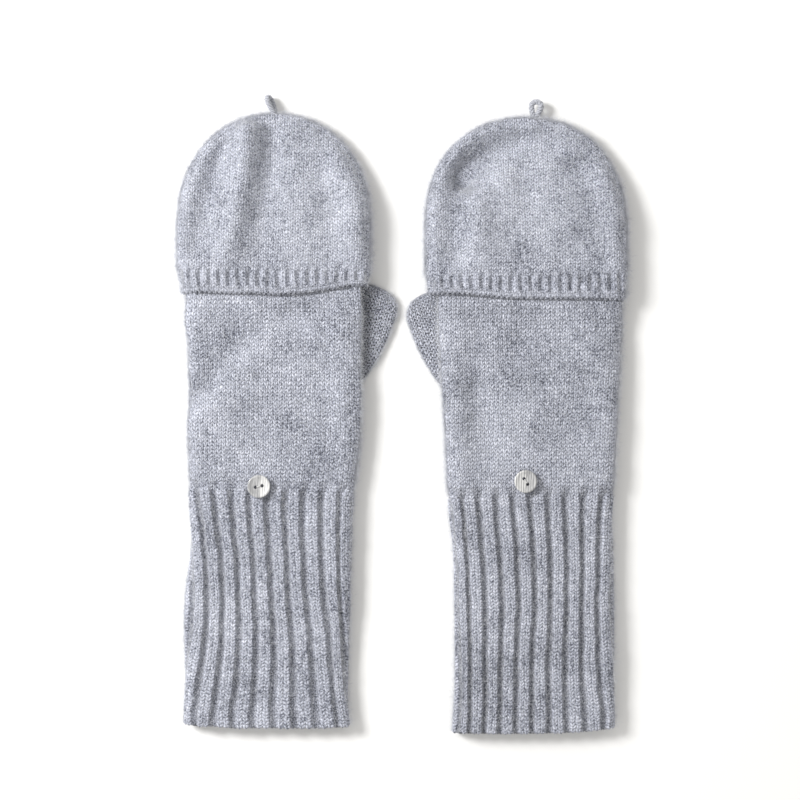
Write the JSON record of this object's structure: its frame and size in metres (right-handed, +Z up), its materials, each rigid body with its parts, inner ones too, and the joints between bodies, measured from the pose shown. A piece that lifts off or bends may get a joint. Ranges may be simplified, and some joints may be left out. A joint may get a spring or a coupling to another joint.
{
  "type": "convertible flip-top mittens",
  "caption": "Pair of knitted half-finger gloves with long ribbed cuffs and flip-over mitten caps that loop onto a shell button at the wrist.",
  "frame": {"origin": "on the table, at the middle of the bottom of the whole pair's box", "axes": "+X from the left-hand mitten to the right-hand mitten, +Y to the fingertips, +Z up from the table, backs of the hands up"},
  "size_m": [0.2256, 0.3202, 0.0146],
  "materials": {
    "plain_knit": "fine plain knit in a brushed, heathered cool grey wool yarn, matt with a soft halo",
    "rib_knit": "the same heathered grey yarn knitted in a deep rib, matt, darker in the furrows",
    "sewing_yarn": "one row of linking stitches in the same grey yarn",
    "shell_button": "polished mother-of-pearl with soft bright streaks",
    "button_thread": "pale grey twisted sewing thread"
  },
  "bodies": {
    "left_mitten": {"left_cuff": "rib_knit", "left_cuff_edge": "rib_knit", "left_hand": "plain_knit", "left_index_finger": "plain_knit", "left_middle_finger": "plain_knit", "left_ring_finger": "plain_knit", "left_little_finger": "plain_knit", "left_cap_seam": "sewing_yarn", "left_button_shank": "button_thread", "left_button_knot": "button_thread"},
    "left_flip_cap": {"left_cap_back": "plain_knit", "left_cap_palm": "plain_knit", "left_cap_band_back": "rib_knit", "left_cap_band_palm": "rib_knit"},
    "left_tip_loop": {"left_cap_loop": "plain_knit"},
    "left_thumb_tube": {"left_thumb": "plain_knit"},
    "left_wrist_button": {"left_button": "shell_button", "left_button_thread": "button_thread"},
    "right_mitten": {"right_cuff": "rib_knit", "right_cuff_edge": "rib_knit", "right_hand": "plain_knit", "right_index_finger": "plain_knit", "right_middle_finger": "plain_knit", "right_ring_finger": "plain_knit", "right_little_finger": "plain_knit", "right_cap_seam": "sewing_yarn", "right_button_shank": "button_thread", "right_button_knot": "button_thread"},
    "right_flip_cap": {"right_cap_back": "plain_knit", "right_cap_palm": "plain_knit", "right_cap_band_back": "rib_knit", "right_cap_band_palm": "rib_knit"},
    "right_tip_loop": {"right_cap_loop": "plain_knit"},
    "right_thumb_tube": {"right_thumb": "plain_knit"},
    "right_wrist_button": {"right_button": "shell_button", "right_button_thread": "button_thread"}
  },
  "joints": [
    {"name": "left_cap_flip", "type": "hinge", "parent": "left_mitten", "child": "left_flip_cap", "pos_m": [-0.06454, 0.06278, 0.0123], "axis": [0.9999, -0.0105, 0], "range_deg": [0, 178], "deforming": ["left_cap_palm", "left_cap_band_palm"]},
    {"name": "left_loop_bend", "type": "hinge", "parent": "left_flip_cap", "child": "left_tip_loop", "pos_m": [-0.06361, 0.15157, 0.00415], "axis": [0.9999, -0.0105, 0], "range_deg": [0, 70]},
    {"name": "left_thumb_swing", "type": "hinge", "parent": "left_mitten", "child": "left_thumb_tube", "pos_m": [-0.04297, 0.00315, 0.0018], "axis": [0, 0, -1], "range_deg": [-12, 5.5]},
    {"name": "left_button_tilt", "type": "hinge", "parent": "left_mitten", "child": "left_wrist_button", "pos_m": [-0.07116, -0.03446, 0.0113], "axis": [0.9999, -0.0105, 0], "range_deg": [-12, 12]},
    {"name": "right_cap_flip", "type": "hinge", "parent": "right_mitten", "child": "right_flip_cap", "pos_m": [0.06436, 0.06018, 0.0123], "axis": [0.9998, 0.0201, 0], "range_deg": [0, 178], "deforming": ["right_cap_palm", "right_cap_band_palm"]},
    {"name": "right_loop_bend", "type": "hinge", "parent": "right_flip_cap", "child": "right_tip_loop", "pos_m": [0.06718, 0.14905, 0.00415], "axis": [0.9998, 0.0201, 0], "range_deg": [0, 70]},
    {"name": "right_thumb_swing", "type": "hinge", "parent": "right_mitten", "child": "right_thumb_tube", "pos_m": [0.04335, 0.00034, 0.0018], "axis": [0, 0, 1], "range_deg": [-12, 5.5]},
    {"name": "right_button_tilt", "type": "hinge", "parent": "right_mitten", "child": "right_wrist_button", "pos_m": [0.06151, -0.032, 0.0113], "axis": [0.9998, 0.0201, 0], "range_deg": [-12, 12]},
    {"name": "pair_slide", "type": "slide", "parent": "left_mitten", "child": "right_mitten", "axis": [1, 0, 0], "range_m": [0, 0.15]}
  ]
}
